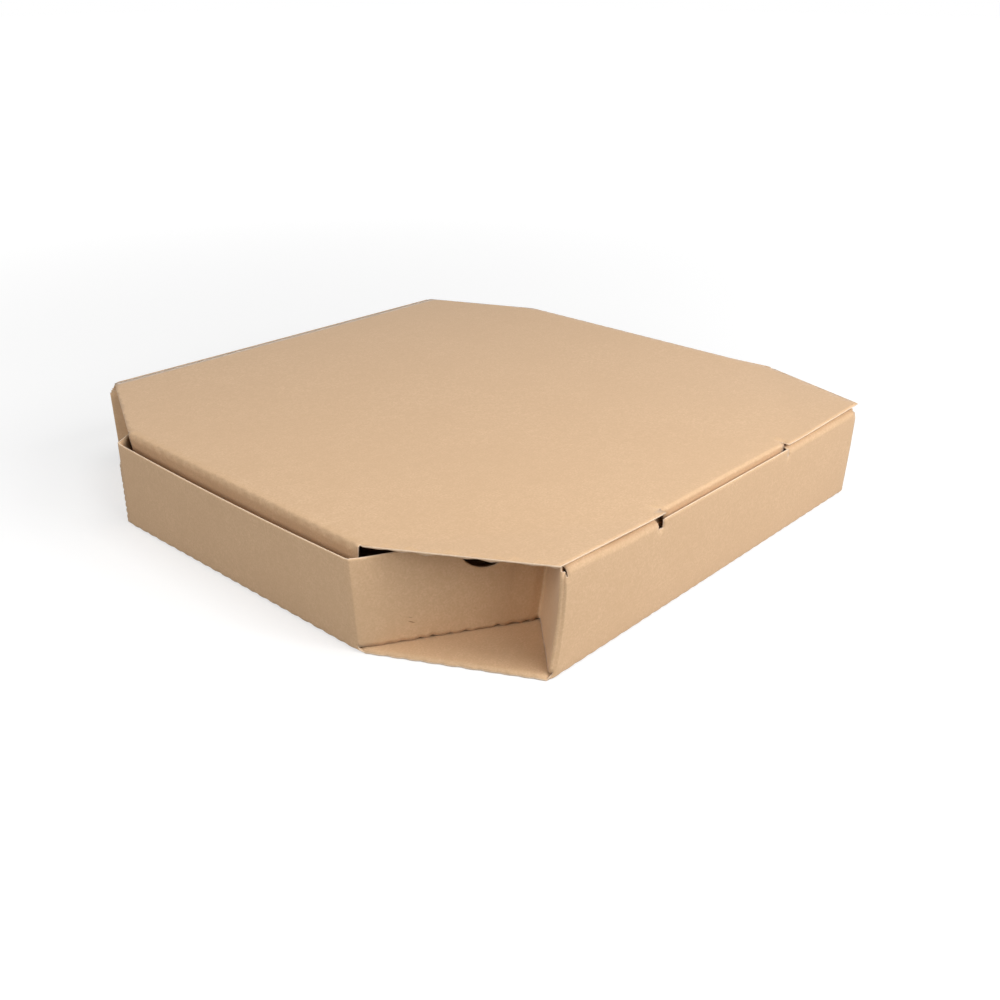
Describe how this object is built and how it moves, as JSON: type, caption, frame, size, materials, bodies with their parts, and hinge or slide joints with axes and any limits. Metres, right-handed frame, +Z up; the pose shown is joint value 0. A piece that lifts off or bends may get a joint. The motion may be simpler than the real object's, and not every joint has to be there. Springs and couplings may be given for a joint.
{
  "type": "pizza box",
  "caption": "Shallow folding corrugated board box with cut-off corners, folded corner webs and a hinged lid with a tuck tab and side flaps.",
  "frame": {"origin": "middle of the base, on the surface that the box stands on", "axes": "+Z up, -Y towards the front, where the tuck tab is, +Y towards the lid's hinge crease, X across the box"},
  "size_m": [0.2784, 0.2774, 0.0436],
  "materials": {
    "board": "matte brown kraft liner over fine corrugated board"
  },
  "bodies": {
    "tray": {"tray": "board"},
    "lid": {"lid": "board"}
  },
  "joints": [
    {"name": "lid_hinge", "type": "hinge", "parent": "tray", "child": "lid", "pos_m": [0, 0.13805, 0.04125], "axis": [-1, 0, 0], "range_deg": [0, 180]}
  ]
}
